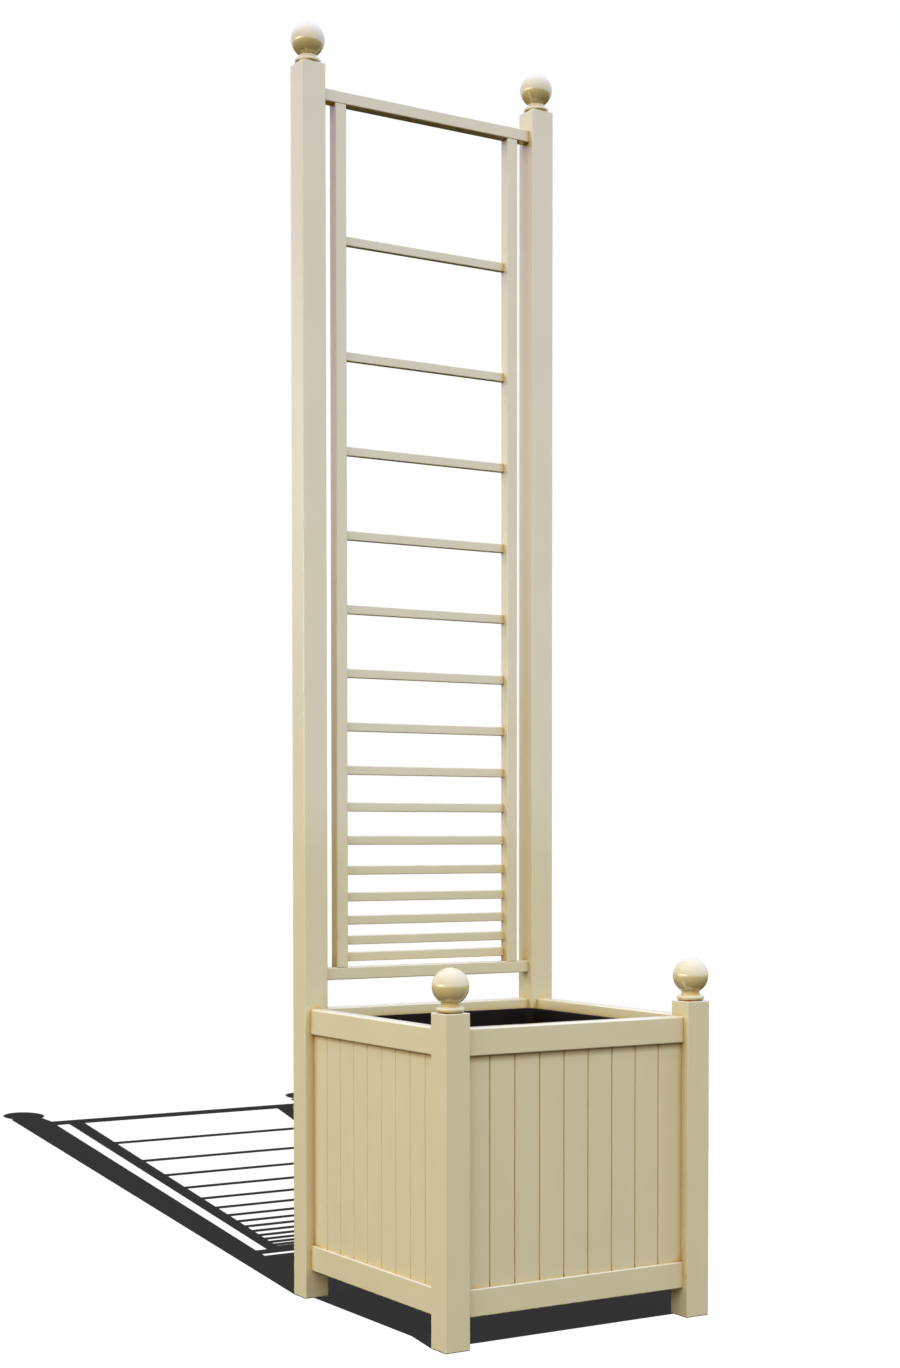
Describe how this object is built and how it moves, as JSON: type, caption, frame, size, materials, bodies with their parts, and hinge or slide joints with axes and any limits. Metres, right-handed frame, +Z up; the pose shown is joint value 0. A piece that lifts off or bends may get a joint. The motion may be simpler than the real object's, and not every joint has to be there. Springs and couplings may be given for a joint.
{
  "type": "planter with trellis",
  "caption": "Square painted wooden planter box with ball finials on its corner posts, a ladder trellis between the tall back posts, and a lift-out plastic liner.",
  "frame": {"origin": "centre of the object's box on the floor, under the middle of the planter", "axes": "+Z up, +Y to the back where the trellis stands, +X to the right seen from the front"},
  "size_m": [0.513, 0.513, 2.1325],
  "materials": {
    "cream_paint": "smooth satin cream paint on planed wood, glossier on the turned balls",
    "bare_wood": "sawn softwood, unpainted",
    "black_liner": "black moulded plastic, matt",
    "zinc_steel": "zinc-plated"
  },
  "bodies": {
    "planter_frame": {"front_left_post": "cream_paint", "front_right_post": "cream_paint", "back_right_post": "cream_paint", "back_left_post": "cream_paint", "front_left_finial": "cream_paint", "front_right_finial": "cream_paint", "back_right_finial": "cream_paint", "back_left_finial": "cream_paint", "finial_dowels": "zinc_steel", "front_top_rail": "cream_paint", "right_top_rail": "cream_paint", "back_top_rail": "cream_paint", "left_top_rail": "cream_paint", "front_bottom_rail": "cream_paint", "right_bottom_rail": "cream_paint", "back_bottom_rail": "cream_paint", "left_bottom_rail": "cream_paint", "front_boards": "cream_paint", "right_boards": "cream_paint", "back_boards": "cream_paint", "left_boards": "cream_paint", "trellis_top_bar": "cream_paint", "trellis_bottom_bar": "cream_paint", "trellis_left_stile": "cream_paint", "trellis_right_stile": "cream_paint", "rung_01": "cream_paint", "rung_02": "cream_paint", "rung_03": "cream_paint", "rung_04": "cream_paint", "rung_05": "cream_paint", "rung_06": "cream_paint", "rung_07": "cream_paint", "rung_08": "cream_paint", "rung_09": "cream_paint", "rung_10": "cream_paint", "rung_11": "cream_paint", "rung_12": "cream_paint", "rung_13": "cream_paint", "rung_14": "cream_paint", "rung_15": "cream_paint", "front_bearer": "bare_wood", "back_bearer": "bare_wood", "bearer_screws": "zinc_steel", "floor_slat_1": "bare_wood", "floor_slat_2": "bare_wood", "floor_slat_3": "bare_wood", "floor_slat_4": "bare_wood", "floor_slat_5": "bare_wood", "slat_screws": "zinc_steel"},
    "liner": {"planter_liner": "black_liner"}
  },
  "joints": [
    {"name": "liner_lift", "type": "slide", "parent": "planter_frame", "child": "liner", "axis": [0, 0, 1], "range_m": [0, 0.5]}
  ]
}
